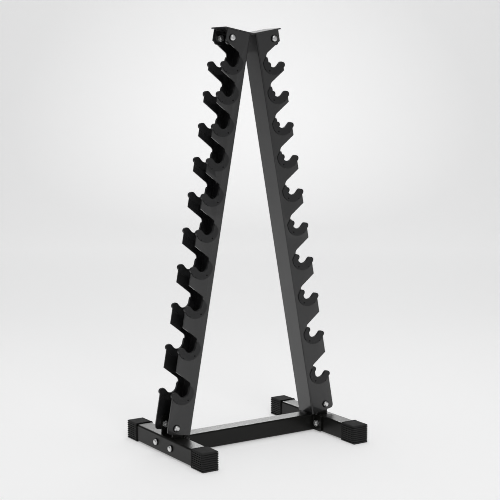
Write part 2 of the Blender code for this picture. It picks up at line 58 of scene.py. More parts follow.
BEAD_RADIUS = 2.6 * MM
BEAD_PITCH = 1.9 * MM
EAR_CORNER = 8 * MM
EAR_EDGE = 0.5 * MM
Point = tuple[float, float]
PlaceTest = Callable[[Vector, Vector], bool]


class Axis(Enum):
    """An axis of the rack, with the turn that lays a Z cylinder along it."""

    X = (0.0, math.pi / 2, 0.0)
    Y = (math.pi / 2, 0.0, 0.0)
    Z = (0.0, 0.0, 0.0)

    @property
    def index(self) -> int:
        """The axis's place in a vector."""
        return list(Axis).index(self)


class Slot(Enum):
    """The record's material slots."""

    UPRIGHT = "upright_steel"
    BASE = "base_steel"
    SADDLE = "saddle_nylon"
    CAP = "cap_rubber"
    FASTENER = "zinc_fasteners"


class Half(Enum):
    """A half of the rack: its name in the nodes and its direction along an axis."""

    @property
    def label(self) -> str:
        """The half's name in the nodes."""
        return self.value[0]

    @property
    def sign(self) -> int:
        """The half's direction along its axis."""
        return self.value[1]


class Side(Half):
    """The right or the left half, along X, with its turn about the middle."""

    RIGHT = ("right", 1)
    LEFT = ("left", -1)

    @property
    def turn(self) -> Matrix:
        """The turn that carries a piece of the right half to this half."""
        return Matrix.Rotation(0.0 if self is Side.RIGHT else math.pi, 4, "Z")


class End(Half):
    """The front or the rear half, along Y."""

    FRONT = ("front", -1)
    REAR = ("rear", 1)


# ---- modelling ----


def make_active(piece: bpy.types.Object) -> None:
    """Select one object and nothing else."""
    bpy.ops.object.select_all(action="DESELECT")
    piece.select_set(True)
    bpy.context.view_layer.objects.active = piece


def settle(name: str) -> bpy.types.Object:
    """Name the active object and move its place and size into its mesh.

    Args:
        name: The object's new name.

    Returns:
        The object.
    """
    piece = bpy.context.active_object
    piece.name = name
    piece.data.name = name
    bpy.ops.object.transform_apply(location=True, rotation=True, scale=True)
    return piece


def add_block(name: str, low: Sequence[float], high: Sequence[float]) -> bpy.types.Object:
    """Add a cube primitive between two corners.

    Args:
        name: The object's name.
        low: The lowest corner.
        high: The highest corner.

    Returns:
        The block.
    """
    bpy.ops.object.select_all(action="DESELECT")
    size = Vector(high) - Vector(low)
    middle = (Vector(high) + Vector(low)) / 2
    bpy.ops.mesh.primitive_cube_add(size=1, location=middle, scale=size)
    return settle(name)


def add_cylinder(
    name: str, centre: Sequence[float], axis: Axis, radius: float, depth: float, sides: int = 48
) -> bpy.types.Object:
    """Add a cylinder primitive.

    Args:
        name: The object's name.
        centre: The middle of the cylinder.
        axis: The axis it lies along.
        radius: Its radius.
        depth: Its whole length.
        sides: How many faces go round it.

    Returns:
        The cylinder.
    """
    bpy.ops.object.select_all(action="DESELECT")
    bpy.ops.mesh.primitive_cylinder_add(
        vertices=sides, radius=radius, depth=depth, location=centre, rotation=axis.value
    )
    return settle(name)


@contextmanager
def editing(piece: bpy.types.Object) -> Iterator[bmesh.types.BMesh]:
    """Edit mode on one object, with nothing selected.

    Args:
        piece: The object.

    Yields:
        Its edit mesh, in which edges and faces are selected.
    """
    make_active(piece)
    bpy.ops.object.mode_set(mode="EDIT")
    bpy.ops.mesh.select_all(action="DESELECT")
    yield bmesh.from_edit_mesh(piece.data)
    bpy.ops.object.mode_set(mode="OBJECT")


def round_edges(
    piece: bpy.types.Object, wanted: PlaceTest, radius: float, segments: int
) -> None:
    """Bevel the edges that lie where they are asked for.

    Args:
        piece: The object.
        wanted: Takes an edge's middle and direction and says whether it is rounded.
        radius: The bevel's width.
        segments: Steps in the round.
    """
    with editing(piece) as mesh:
        bpy.ops.mesh.select_mode(type="EDGE")
        for edge in mesh.edges:
            start, end = (vert.co for vert in edge.verts)
            edge.select_set(wanted((start + end) / 2, (end - start).normalized()))
        bmesh.update_edit_mesh(piece.data)
        bpy.ops.mesh.bevel(offset=radius, segments=segments, affect="EDGES")


def open_faces(piece: bpy.types.Object, wanted: PlaceTest) -> None:
    """Delete the faces that lie where they are asked for.

    Args:
        piece: The object.
        wanted: Takes a face's middle and normal and says whether it goes.
    """
    with editing(piece) as mesh:
        bpy.ops.mesh.select_mode(type="FACE")
        for face in mesh.faces:
            face.select_set(wanted(face.calc_center_median(), face.normal))
        bmesh.update_edit_mesh(piece.data)
        bpy.ops.mesh.delete(type="FACE")


def clean(piece: bpy.types.Object) -> None:
    """Merge a mesh's doubles and point its faces outwards."""
    with editing(piece):
        bpy.ops.mesh.select_all(action="SELECT")
        bpy.ops.mesh.remove_doubles(threshold=WELD_DISTANCE)
        bpy.ops.mesh.normals_make_consistent(inside=False)


def apply_modifier(piece: bpy.types.Object, kind: str, **settings: object) -> None:
    """Add a modifier and apply it.

    Args:
        piece: The object.
        kind: The modifier's type.
        **settings: The modifier's values.
    """
    modifier = piece.modifiers.new(kind.lower(), kind)
    for key, value in settings.items():
        setattr(modifier, key, value)
    make_active(piece)
    bpy.ops.object.modifier_apply(modifier=modifier.name)


def repeat(piece: bpy.types.Object, count: int, step: Sequence[float]) -> None:
    """Repeat a piece in a row.

    Args:
        piece: The piece.
        count: How many the row has.
        step: The way from one to the next.
    """
    apply_modifier(
        piece,
        "ARRAY",
        count=count,
        use_relative_offset=False,
        use_constant_offset=True,
        constant_offset_displace=step,
    )


def cut(piece: bpy.types.Object, tool: bpy.types.Object) -> None:
    """Take a tool's shape out of a piece; where both have a finish, the cut keeps the tool's."""
    apply_modifier(
        piece,
        "BOOLEAN",
        operation="DIFFERENCE",
        solver="EXACT",
        material_mode="TRANSFER" if piece.data.materials else "INDEX",
        object=tool,
    )
    bpy.data.objects.remove(tool)


def soften(piece: bpy.types.Object, width: float, segments: int = 2) -> None:
    """Round every sharp edge a little and shade the rest smooth.

    Args:
        piece: The object.
        width: The round's width.
        segments: Steps in the round.
    """
    clean(piece)
    apply_modifier(
        piece,
        "BEVEL",
        width=width,
        segments=segments,
        limit_method="ANGLE",
        angle_limit=SHARP_ANGLE,
        miter_outer="MITER_ARC",
    )
    make_active(piece)
    bpy.ops.object.shade_smooth_by_angle(angle=SHARP_ANGLE)
    apply_modifier(piece, "WEIGHTED_NORMAL", mode="FACE_AREA", weight=100, keep_sharp=True)


def join(pieces: Sequence[bpy.types.Object], name: str) -> bpy.types.Object:
    """Join the shells of one welded or assembled piece.

    Args:
        pieces: The objects to join.
        name: The joined object's name.

    Returns:
        The joined object.
    """
    make_active(pieces[0])
    for piece in pieces:
        piece.select_set(True)
    if len(pieces) > 1:
        bpy.ops.object.join()
    pieces[0].name = name
    pieces[0].data.name = name
    return pieces[0]


def placed_copy(piece: bpy.types.Object, name: str, place: Matrix) -> bpy.types.Object:
    """Copy a piece with its own mesh, moved inside that mesh.

    Args:
        piece: The object to copy.
        name: The copy's name.
        place: Where the copy goes.

    Returns:
        The copy.
    """
    copy = piece.copy()
    copy.data = piece.data.copy()
    copy.data.transform(place)
    copy.name = name
    copy.data.name = name
    bpy.context.scene.collection.objects.link(copy)
    return copy


def arc(centre: Point, radius: float, start: float, end: float, steps: int) -> list[Point]:
    """Points along an arc.

    Args:
        centre: The arc's centre.
        radius: Its radius.
        start: The first angle, in degrees.
        end: The last angle, in degrees.
        steps: Steps along it.

    Returns:
        The points, both ends included.
    """
    angles = [math.radians(start + (end - start) * i / steps) for i in range(steps + 1)]
    return [(centre[0] + radius * math.cos(a), centre[1] + radius * math.sin(a)) for a in angles]


def rounded_rectangle(low: Point, high: Point, radius: float, steps: int = 6) -> list[Point]:
    """A rectangle's outline with round corners.

    Args:
        low: Its lowest corner.
        high: Its highest corner.
        radius: The corners' radius.
        steps: Steps round a corner.

    Returns:
        The outline, anticlockwise.
    """
    left, right = low[0] + radius, high[0] - radius
    bottom, top = low[1] + radius, high[1] - radius
    outline = arc((right, top), radius, 0, 90, steps)
    outline += arc((left, top), radius, 90, 180, steps)
    outline += arc((left, bottom), radius, 180, 270, steps)
    return outline + arc((right, bottom), radius, 270, 360, steps)


def tangent_angle(hollow: Point, hollow_radius: float, round_: Point, radius: float) -> float:
    """Where one straight line leaves a hollow for a round.

    Args:
        hollow: The hollow's centre.
        hollow_radius: The hollow's radius.
        round_: The round's centre.
        radius: The round's radius.

    Returns:
        The angle about the hollow's centre, in degrees.
    """
    across, rise = round_[0] - hollow[0], round_[1] - hollow[1]
    turn = math.acos((hollow_radius + radius) / math.hypot(across, rise))
    return math.degrees(math.atan2(rise, across) - turn)


def extruded(
    name: str, outlines: Sequence[Sequence[Point]], thickness: float, turn: Axis
) -> bpy.types.Object:
    """Fill flat outlines, give them a thickness and make them a closed mesh.

    Args:
        name: The object's name.
        outlines: Closed outlines; one inside another is a hole.
        thickness: The whole thickness, about the outlines' plane.
        turn: The axis that the thickness lies along.

    Returns:
        The solid.
    """
    curve = bpy.data.curves.new(name, "CURVE")
    curve.dimensions = "2D"
    curve.fill_mode = "BOTH"
    curve.extrude = thickness / 2
    for outline in outlines:
        spline = curve.splines.new("POLY")
        spline.points.add(len(outline) - 1)
        for point, (across, up) in zip(spline.points, outline):
            point.co = (across, up, 0, 1)
        spline.use_cyclic_u = True
    flat = bpy.data.objects.new(name, curve)
    bpy.context.scene.collection.objects.link(flat)
    make_active(flat)
    bpy.ops.object.convert(target="MESH")
    flat.rotation_euler = turn.value
    solid = settle(name)
    clean(solid)
    return solid


def weld_bead(name: str, start: Sequence[float], end: Sequence[float]) -> bpy.types.Object:
    """A weld's row of overlapping ripples along a straight seam.

    Args:
        name: The object's name.
        start: The seam's first end.
        end: The seam's other end.

    Returns:
        The bead.
    """
    seam = Vector(end) - Vector(start)
    count = max(2, round(seam.length / BEAD_PITCH))
    bpy.ops.object.select_all(action="DESELECT")
    bpy.ops.mesh.primitive_uv_sphere_add(
        segments=12, ring_count=8, radius=BEAD_RADIUS, location=start
    )
    bead = settle(name)
    repeat(bead, count, seam / (count - 1))
    make_active(bead)
    bpy.ops.object.shade_smooth()
    return bead


def add_ear(low: Sequence[float], high: Sequence[float], upright: bool) -> bpy.types.Object:
    """Add a plate that a bolt clamps a flange to, with round corners at its free end.

    Args:
        low: Its lowest corner.
        high: Its highest corner.
        upright: Whether its upper end is the free one.

    Returns:
        The ear.
    """
    ear = add_block("ear", low, high)
    middle = (low[2] + high[2]) / 2
    round_edges(
        ear,
        lambda place, way: abs(way.y) > FACING and (place.z > middle) == upright,
        EAR_CORNER,
        6,
    )
    return ear


# ---- finishes ----


MOTTLE_RANGE = (0.3, 0.7)  # the part of the noise that carries the mottle
EDGE_HIGHLIGHT_RANGE = (0.52, 0.62)  # pointiness where the painted edge highlight starts and where it is full
EDGE_HIGHLIGHT_SHARE = 0.6  # how far the full painted highlight goes towards its colour


def linear(colour: str) -> tuple[float, float, float, float]:
    """An sRGB hex colour as linear light.

    Args:
        colour: Six hex digits after a hash sign.

    Returns:
        Red, green, blue and a full alpha.
    """
    values = [int(colour[i : i + 2], 16) / 255 for i in (1, 3, 5)]
    red, green, blue = (
        v / 12.92 if v <= 0.04045 else ((v + 0.055) / 1.055) ** 2.4 for v in values
    )
    return red, green, blue, 1.0


def add_node(tree: bpy.types.NodeTree, kind: str, **inputs: object) -> bpy.types.Node:
    """Add a node; a socket is linked to its input and any other value is set on it.

    Args:
        tree: The material's nodes.
        kind: The node's type.
        **inputs: Values by input name, with underscores for spaces, or by in_ and its number.

    Returns:
        The node.
    """
    node = tree.nodes.new(kind)
    for key, value in inputs.items():
        if hasattr(node, key):
            setattr(node, key, value)
            continue
        place = int(key[3:]) if key.startswith("in_") else key.replace("_", " ")
        socket = node.inputs[place]
        if isinstance(value, bpy.types.NodeSocket):
            tree.links.new(value, socket)
        else:
            socket.default_value = value
    return node


@dataclass(frozen=True)
class Finish:
    """A surface with mottled colour, uneven gloss, a fine grain and, where it lists a colour, a painted
    highlight along convex edges.
    """

    name: str
    slot: Slot
    dark: str
    light: str
    roughness: tuple[float, float]
    grain_mm: float
    grain_height_mm: float
    mottle_mm: float
    metallic: float = 0.0
    ior: float = 1.5
    coat: float = 0.0
    grain_detail: float = 2.0
    edge_highlight: str | None = None
    cache: dict[str, bpy.types.Material] = field(default_factory=dict, compare=False)

    def material(self) -> bpy.types.Material:
        """The finish's material, built once."""
        if "built" not in self.cache:
            self.cache["built"] = self.build()
        return self.cache["built"]

    def build(self) -> bpy.types.Material:
        """Build the node material.

        Returns:
            The new material.
        """
        material = bpy.data.materials.new(self.name)
        material.use_nodes = True
        tree = material.node_tree
        shader = tree.nodes["Principled BSDF"]
        place = add_node(tree, "ShaderNodeTexCoord").outputs["Object"]
        mottle = add_node(
            tree, "ShaderNodeTexNoise", Vector=place, Scale=1000 / self.mottle_mm, Detail=4.0
        ).outputs["Fac"]
        colour = add_node(tree, "ShaderNodeValToRGB", Fac=mottle)
        tones = (self.dark, self.light)
        for stop, place_on_ramp, tone in zip(colour.color_ramp.elements, MOTTLE_RANGE, tones):
            stop.position, stop.color = place_on_ramp, linear(tone)
        surface = colour.outputs["Color"]
        # a painted highlight along convex edges, where the finish has a colour for it
        if self.edge_highlight:
            surface = self.worn(tree, surface)
        tree.links.new(surface, shader.inputs["Base Color"])
        gloss = add_node(
            tree,
            "ShaderNodeMapRange",
            Value=mottle,
            From_Min=MOTTLE_RANGE[0],
            From_Max=MOTTLE_RANGE[1],
            To_Min=self.roughness[0],
            To_Max=self.roughness[1],
        )
        tree.links.new(gloss.outputs["Result"], shader.inputs["Roughness"])
        grain = add_node(
            tree,
            "ShaderNodeTexNoise",
            Vector=place,
            Scale=1000 / self.grain_mm,
            Detail=self.grain_detail,
        )
        bump = add_node(
            tree,
            "ShaderNodeBump",
            Height=grain.outputs["Fac"],
            Distance=self.grain_height_mm * MM,
            Strength=1.0,
        )
        tree.links.new(bump.outputs["Normal"], shader.inputs["Normal"])
        shader.inputs["Metallic"].default_value = self.metallic
        shader.inputs["IOR"].default_value = self.ior
        shader.inputs["Coat Weight"].default_value = self.coat
        return material

    def worn(
        self, tree: bpy.types.NodeTree, surface: bpy.types.NodeSocket
    ) -> bpy.types.NodeSocket:
        """Lighten the colour along convex edges, a painted highlight where they catch the light.

        Args:
            tree: The material's nodes.
            surface: The colour before the highlight.

        Returns:
            The colour with the painted edge highlight.
        """
        edges = add_node(tree, "ShaderNodeNewGeometry").outputs["Pointiness"]
        highlighted = add_node(
            tree,
            "ShaderNodeMapRange",
            Value=edges,
            From_Min=EDGE_HIGHLIGHT_RANGE[0],
            From_Max=EDGE_HIGHLIGHT_RANGE[1],
            To_Min=0.0,
            To_Max=EDGE_HIGHLIGHT_SHARE,
        ).outputs["Result"]
        mix = add_node(
            tree,
            "ShaderNodeMix",
            data_type="RGBA",
            in_0=highlighted,
            in_6=surface,
            in_7=linear(self.edge_highlight),
        )
        return mix.outputs[2]


# Powder coat: polyester powder sprayed on steel and baked, so it flows into a satin skin
# with a faint orange peel; its convex edges are drawn lighter, a painted highlight where they catch the
# light.
# The peel is about 1 mm across and is drawn at 3 mm, so that it shows.
POWDER_COAT = Finish(
    "black_polyester_powder_coat",
    Slot.UPRIGHT,
    dark="#0A0A0B",
    light="#101011",
    roughness=(0.34, 0.40),
    grain_mm=3.0,
    grain_height_mm=0.012,
    mottle_mm=60.0,
    coat=0.5,
    edge_highlight="#2A2A2B",
)
# The base's coat: the same black powder coat drawn darker than the uprights' and faintly warm, painted
# shade that keeps the tubes' faces near black and a painted warm reflection, with hardly any clear layer
# and an index set below real powder coat's, so that those faces stay dark while their tops still catch
# the light; its edges get the painted highlight too.
BASE_COAT = Finish(
    "black_powder_coat_on_tube",
    Slot.BASE,
    dark="#090908",
    light="#0F0F0D",
    roughness=(0.30, 0.38),
    grain_mm=3.0,
    grain_height_mm=0.010,
    mottle_mm=80.0,
    ior=1.29,
    coat=0.05,
    edge_highlight="#1C1C1A",
)
# Nylon: moulded in a spark-eroded tool, which leaves an even matt grain.
# The grain is about 0.3 mm and is drawn at 1.5 mm, so that it shows.
MOULDED_NYLON = Finish(
    "black_moulded_nylon",
    Slot.SADDLE,
    dark="#121213",
    light="#1A1A1C",
    roughness=(0.48, 0.58),
    grain_mm=1.5,
    grain_height_mm=0.020,
    mottle_mm=9.0,
    grain_detail=3.0,
)
# Rubber: pressed black rubber with a dull bloom that greys it unevenly; the edges of its ribs are drawn
# lighter, a painted highlight.
PRESSED_RUBBER = Finish(
    "black_pressed_rubber",
    Slot.CAP,
    dark="#1A1A1A",
    light="#282828",
    roughness=(0.66, 0.80),
    grain_mm=1.2,
    grain_height_mm=0.020,
    mottle_mm=14.0,
    ior=1.42,
    edge_highlight="#464646",
)
# The cap's grooves, the inside of its mouth and its lip: the same rubber drawn near black, painted shade
# in these recesses and at the mouth.
SHADE_PAINTED_RUBBER = Finish(
    "black_rubber_with_painted_shade",
    Slot.CAP,
    dark="#050505",
    light="#090909",
    roughness=(0.75, 0.85),
    grain_mm=1.2,
    grain_height_mm=0.020,
    mottle_mm=14.0,
)
# Pins: nylon plugs pressed through the saddle, which sit a shade darker than its grain.
NYLON_PIN = Finish(
    "smooth_black_nylon_pin",
    Slot.SADDLE,
    dark="#030303",
    light="#060606",
    roughness=(0.70, 0.80),
    grain_mm=1.0,
    grain_height_mm=0.004,
    mottle_mm=6.0,
    ior=1.3,
)
# Zinc: bright electroplate on turned steel, with the slight cloudiness of passivation.
ZINC_PLATE = Finish(
    "bright_zinc_electroplate",
    Slot.FASTENER,
    dark="#D6D7D8",
    light="#EDEDEB",
    roughness=(0.34, 0.44),
    grain_mm=1.0,
    grain_height_mm=0.004,
    mottle_mm=6.0,
    metallic=1.0,
)
# The washer: the same zinc drawn near black, so that a dark ring shows round each head.
NEAR_BLACK_WASHER_ZINC = Finish(
    "near_black_washer_zinc",
    Slot.FASTENER,
    dark="#1A1A1B",
    light="#262627",
    roughness=(0.35, 0.45),
    grain_mm=1.0,
    grain_height_mm=0.004,
    mottle_mm=6.0,
    metallic=1.0,
)


# The feet and the crossbar, which alone the rear softbox lights.
BASE_PIECES = bpy.data.collections.new("base_pieces")


def dress(piece: bpy.types.Object, finish: Finish, *nodes: str) -> None:
    """Give a piece its finish and let it stand for its CAD nodes.

    Args:
        piece: The piece.
        finish: Its finish.
        *nodes: The CAD nodes that it replaces.
    """
    if not piece.data.materials:
        piece.data.materials.append(finish.material())
    if finish.slot is Slot.BASE:
        BASE_PIECES.objects.link(piece)
    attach(piece, "root")
    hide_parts(*nodes)
    LOG.info("%s: %d faces", piece.name, len(piece.data.polygons))


# ---- places from the frame ----


@dataclass
class Notch:
    """The shape of a notch: across from the back of the web, and up from the hook's centre."""

    flange_width: float = 78 * MM
    seat_radius: float = 20.5 * MM
    seat_rise: float = 15 * MM
    wall_behind_seat: float = 24 * MM
    hook_radius: float = 4.5 * MM
    throat_radius: float = 14 * MM
    tooth_face: float = 17 * MM
    mouth_angle: float = math.radians(62)
    margin: float = 20 * MM
    shortest_pitch: float = 85 * MM
    hook_end: float = 8.0  # degrees above level, where the hook's round meets the outline
    arm_gap: float = 0.4 * MM

    @property
    def mouth_rise(self) -> float:
        """The mouth's corner, above the hook's centre."""
        return self.shortest_pitch - self.tooth_face

    @property
    def hook(self) -> Point:
        """The centre of the hook's round tip."""
        return self.flange_width - self.hook_radius, 0.0

    @property
    def seat(self) -> Point:
        """The centre of the seat's round."""
        return self.wall_behind_seat + self.seat_radius, self.seat_rise

    @property
    def throat(self) -> Point:
        """The centre of the round between the mouth's slope and the back wall."""
        across = self.wall_behind_seat + self.throat_radius
        touch = across - self.throat_radius * math.cos(self.mouth_angle)
        rise = self.mouth_rise - (self.flange_width - touch) / math.tan(self.mouth_angle)
        return across, rise - self.throat_radius * math.sin(self.mouth_angle)

    @property
    def arm_top(self) -> float:
        """The upper end of the saddle's arm, just under the throat's round."""
        return self.throat[1] - self.arm_gap

    @property
    def leave(self) -> float:
        """The angle at which the straight arm leaves the seat, in degrees."""
        return tangent_angle(self.seat, self.seat_radius, self.hook, self.hook_radius)

    def outline(self) -> list[Point]:
        """The notch as a closed outline that runs out past the teeth.

        Returns:
            The outline's points.
        """
        outside = self.flange_width + self.margin
        slope_rise = self.margin / math.tan(self.mouth_angle)
        points = [(outside, self.mouth_rise + slope_rise)]
        points += arc(self.throat, self.throat_radius, 180 - math.degrees(self.mouth_angle), 180, 10)
        points += arc(self.seat, self.seat_radius, -180, self.leave, 20)
        points += arc(self.hook, self.hook_radius, self.leave + 180, self.hook_end, 10)
        points.append((outside, self.hook_radius * math.sin(math.radians(self.hook_end))))
        return points


class Layout:
    """Where things stand, read from the boxes of the CAD nodes."""

    def __init__(self, notch: Notch) -> None:
        """Read the boxes.

        Args:
            notch: The notch, whose upper round the saddles' upper ends lie at.
        """
        foot_low, foot_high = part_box("right_foot")
        self.foot_offset = (foot_low.x + foot_high.x) / 2
        self.tube_side = foot_high.x - foot_low.x
        self.tube_top = foot_low.z + self.tube_side
        self.tube_centre = foot_low.z + self.tube_side / 2
        self.tube_length = foot_high.y - foot_low.y
        upright_low, upright_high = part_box("right_upright")
        self.channel_depth = upright_high.y - upright_low.y
        centres = [self.middle(f"right_front_saddle_{tier:02d}") for tier in range(1, 11)]
        run = centres[-1] - centres[0]
        self.lean = math.atan2(run.x, -run.z)
        top_height = upright_high.z - notch.flange_width * math.sin(self.lean)
        self.top = Vector((upright_low.x, 0.0, top_height))
        self.length = (self.top.z - upright_low.z) / math.cos(self.lean)
        self.to_right = Matrix.LocRotScale(self.top, Euler((0, -self.lean, 0)), None)
        self.to_local = self.to_right.inverted()
        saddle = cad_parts["right_front_saddle_01"].data.vertices
        first = notch.arm_top - max((self.to_local @ vertex.co).z for vertex in saddle)
        self.drops = [(centre - centres[0]).length + first for centre in centres]

    @staticmethod
    def middle(node: str) -> Vector:
        """The middle of a node's box."""
        low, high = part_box(node)
        return (low + high) / 2

    def local(self, node: str) -> Vector:
        """The middle of a node's box, in the right upright's own frame."""
        return self.to_local @ self.middle(node)


# ---- sub-assemblies ----


@dataclass
class Upright:
    """A leaning sheet channel with ten notches in each flange."""

    layout: Layout
    notch: Notch
    sheet: float = 4 * MM
    bend_radius: float = 4.3 * MM
    bottom_corner: float = 10 * MM
    hole_radius: float = 5.5 * MM
    cut_edge: float = 0.45 * MM

    def channel(self) -> bpy.types.Object:
        """A block opened at its mouth and ends, bent round its back and given its sheet.

        Returns:
            The channel, before its notches and holes.
        """
        half = self.layout.channel_depth / 2
        width, length = self.notch.flange_width, self.layout.length
        channel = add_block("channel", (0, -half, -length), (width, half, 0))
        open_faces(channel, lambda _, normal: normal.x > FACING or abs(normal.z) > FACING)
        round_edges(
            channel,
            lambda middle, way: middle.x < SAME_PLACE and abs(way.z) > FACING,
            self.bend_radius,
            8,
        )
        apply_modifier(
            channel, "SOLIDIFY", thickness=self.sheet, offset=-1.0, use_even_offset=True
        )
        return channel

    def cutter(self) -> bpy.types.Object:
        """All notches and the rounded lower corner of the flanges.

        Returns:
            The cutter.
        """
        outlines = [
            [(across, up - drop) for across, up in self.notch.outline()]
            for drop in self.layout.drops
        ]
        radius, length = self.bottom_corner, self.layout.length
        right, outside = self.notch.flange_width, self.notch.flange_width + self.notch.margin
        corner = arc((right - radius, radius - length), radius, 0, -90, 8)
        below = -length - self.notch.margin
        outlines.append([*corner, (corner[-1][0], below), (outside, below), (outside, corner[0][1])])
        return extruded("notches", outlines, 2 * self.layout.channel_depth, Axis.Y)

    def build(self) -> None:
        """Make the right upright, turn a copy of it to the left, and dress both."""
        channel = self.channel()
        cut(channel, self.cutter())
        for node in ("right_front_top_bolt", "right_front_base_bolt"):
            place = self.layout.local(node)
            depth = 2 * self.layout.channel_depth
            hole = add_cylinder("hole", (place.x, 0, place.z), Axis.Y, self.hole_radius, depth, 32)
            cut(channel, hole)
        soften(channel, self.cut_edge)
        for side in Side:
            name = f"{side.label}_upright"
            upright = placed_copy(channel, "made_" + name, side.turn @ self.layout.to_right)
            dress(upright, POWDER_COAT, name)
        bpy.data.objects.remove(channel)


@dataclass
class Saddle:
    """A moulded crescent that clips over a hook and lines its seat."""

    layout: Layout
    notch: Notch
    sheet: float = 4 * MM
    seat_radius: float = 18.7 * MM
    seat_centre: Point = (46 * MM, 16.4 * MM)
    cheek: float = 2.3 * MM
    cheek_radius: float = 36.5 * MM
    cheek_centre: Point = (47 * MM, 12.3 * MM)
    bulb_radius: float = 8.7 * MM
    knob_radius: float = 9.8 * MM
    knob_centre: Point = (71.1 * MM, 0.2 * MM)
    arm_tip: float = 1.4 * MM
    arm_taper: float = 7 * MM
    edge_round: float = 0.9 * MM
    slot_play: float = 0.1 * MM
    stud_proud: float = 0.4 * MM
    stud_edge: float = 0.35 * MM
    studs: tuple[tuple[float, float, float], ...] = (
        (27 * MM, -9.5 * MM, 2.3 * MM),
        (62.5 * MM, -18.5 * MM, 1.4 * MM),
    )

    def outline(self) -> list[Point]:
        """The cheek: seat and hook side first, then its round outer side.

        Returns:
            The outline's points.
        """
        top = self.notch.arm_top
        behind = self.notch.wall_behind_seat
        inside = self.seat_centre[0] - self.seat_radius
        leave = tangent_angle(self.seat_centre, self.seat_radius, self.knob_centre, self.knob_radius)
        points = [(behind + self.arm_tip, top), (inside, top - self.arm_taper)]
        points += arc(self.seat_centre, self.seat_radius, -180, leave, 20)
        points += arc(self.knob_centre, self.knob_radius, leave + 180, 90, 8)
        points += arc(self.notch.hook, self.bulb_radius, 80, -55, 14)
        points += arc(self.cheek_centre, self.cheek_radius, -34, -188, 36)
        points.append((behind - self.cheek, top))
        return points

    def slot(self) -> bpy.types.Object:
        """The sheet's shape, which the saddle clips over.

        Returns:
            The cutter.
        """
        notch = self.notch
        far = notch.mouth_rise + self.cheek_radius
        points = [(notch.wall_behind_seat, far)]
        points += arc(notch.seat, notch.seat_radius, -180, notch.leave, 20)
        points += arc(notch.hook, notch.hook_radius, notch.leave + 180, 0, 10)
        points += [(notch.flange_width, -far), (-far, -far), (-far, far)]
        return extruded("slot", [points], self.sheet + self.slot_play, Axis.Y)

    def build(self) -> None:
        """Model one saddle and copy it onto every hook of all four flanges."""
        thickness = self.sheet + 2 * self.cheek
        shell = extruded("saddle", [self.outline()], thickness, Axis.Y)
        cut(shell, self.slot())
        soften(shell, self.edge_round, 3)
        shell.data.materials.append(MOULDED_NYLON.material())
        parts = [shell]
        for across, up, radius in self.studs:
            length = thickness + 2 * self.stud_proud
            stud = add_cylinder("stud", (across, 0, up), Axis.Y, radius, length, 20)
            soften(stud, self.stud_edge)
            stud.data.materials.append(NYLON_PIN.material())
            parts.append(stud)
        master = join(parts, "saddle_master")
        flange = (self.layout.channel_depth - self.sheet) / 2
        for side in Side:
            for end in End:
                for tier, drop in enumerate(self.layout.drops, start=1):
                    node = f"{side.label}_{end.label}_saddle_{tier:02d}"
                    shift = Matrix.Translation((0, end.sign * side.sign * flange, -drop))
                    place = side.turn @ self.layout.to_right @ shift
                    dress(placed_copy(master, "made_" + node, place), MOULDED_NYLON, node)
        bpy.data.objects.remove(master)


@dataclass
class Tube:
    """A length of square tube with rounded corners and an open hollow."""

    side: float
    length: float
    wall: float = 3 * MM
    corner: float = 5 * MM

    def build(self, name: str, centre: Sequence[float], along: Axis) -> bpy.types.Object:
        """Make the tube.

        Args:
            name: The object's name.
            centre: The tube's middle.
            along: The axis that it runs along.

        Returns:
            The tube.
        """
        half = Vector((self.side / 2,) * 3)
        half[along.index] = self.length / 2
        middle = Vector(centre)
        tube = add_block(name, middle - half, middle + half)
        open_faces(tube, lambda _, normal: abs(normal[along.index]) > FACING)
        round_edges(tube, lambda _, way: abs(way[along.index]) > FACING, self.corner, 6)
        apply_modifier(tube, "SOLIDIFY", thickness=self.wall, offset=-1.0, use_even_offset=True)
        return tube


@dataclass
class Foot:
    """A tube from front to rear with two welded ears that hold an upright."""

    layout: Layout
    ear: float = 5 * MM
    ear_width: float = 34 * MM
    ear_height: float = 52 * MM
    ear_edge: float = 10 * MM
    sheet: float = 4 * MM
    hole_radius: float = 5.5 * MM
    bead_inset: float = 6 * MM
    sunk: float = 0.5 * MM
    tube_edge: float = 0.4 * MM
    washer_radius: float = 10.5 * MM
    drill_length: float = 90 * MM

    def ears(self, bolt: Vector) -> list[bpy.types.Object]:
        """The ears, round at their upper corners, with their welds.

        Args:
            bolt: A base bolt's place.

        Returns:
            The ears and the weld beads.
        """
        pieces = []
        outer = bolt.x + self.ear_edge
        top = self.layout.tube_top
        middle = self.layout.channel_depth / 2 - self.sheet - self.ear / 2
        for end in End:
            low_y = end.sign * middle - self.ear / 2
            ear = add_ear(
                (outer - self.ear_width, low_y, top - self.sunk),
                (outer, low_y + self.ear, top + self.ear_height),
                upright=True,
            )
            centre = (bolt.x, end.sign * middle, bolt.z)
            cut(ear, add_cylinder("hole", centre, Axis.Y, self.hole_radius, 4 * self.ear, 32))
            soften(ear, EAR_EDGE)
            inner_face = end.sign * (middle - self.ear / 2)
            start = (outer - self.ear_width + self.bead_inset, inner_face, top)
            finish = (outer - self.bead_inset, inner_face, top)
            bead = weld_bead("bead", start, finish)
            pieces += [ear, bead]
        return pieces

    def build(self) -> None:
        """Make the right foot, turn a copy of it to the left, and dress both."""
        centre = (self.layout.foot_offset, 0.0, self.layout.tube_centre)
        tube = Tube(self.layout.tube_side, self.layout.tube_length).build("foot", centre, Axis.Y)
        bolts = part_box("right_crossbar_bolts")
        for along in (bolts[0].y + self.washer_radius, bolts[1].y - self.washer_radius):
            place = (centre[0], along, centre[2])
            cut(tube, add_cylinder("hole", place, Axis.X, self.hole_radius, self.drill_length, 32))
        soften(tube, self.tube_edge)
        foot = join([tube, *self.ears(self.layout.middle("right_front_base_bolt"))], "foot")
        for side in Side:
            name = f"{side.label}_foot"
            dress(placed_copy(foot, "made_" + name, side.turn), BASE_COAT, name)
        bpy.data.objects.remove(foot)


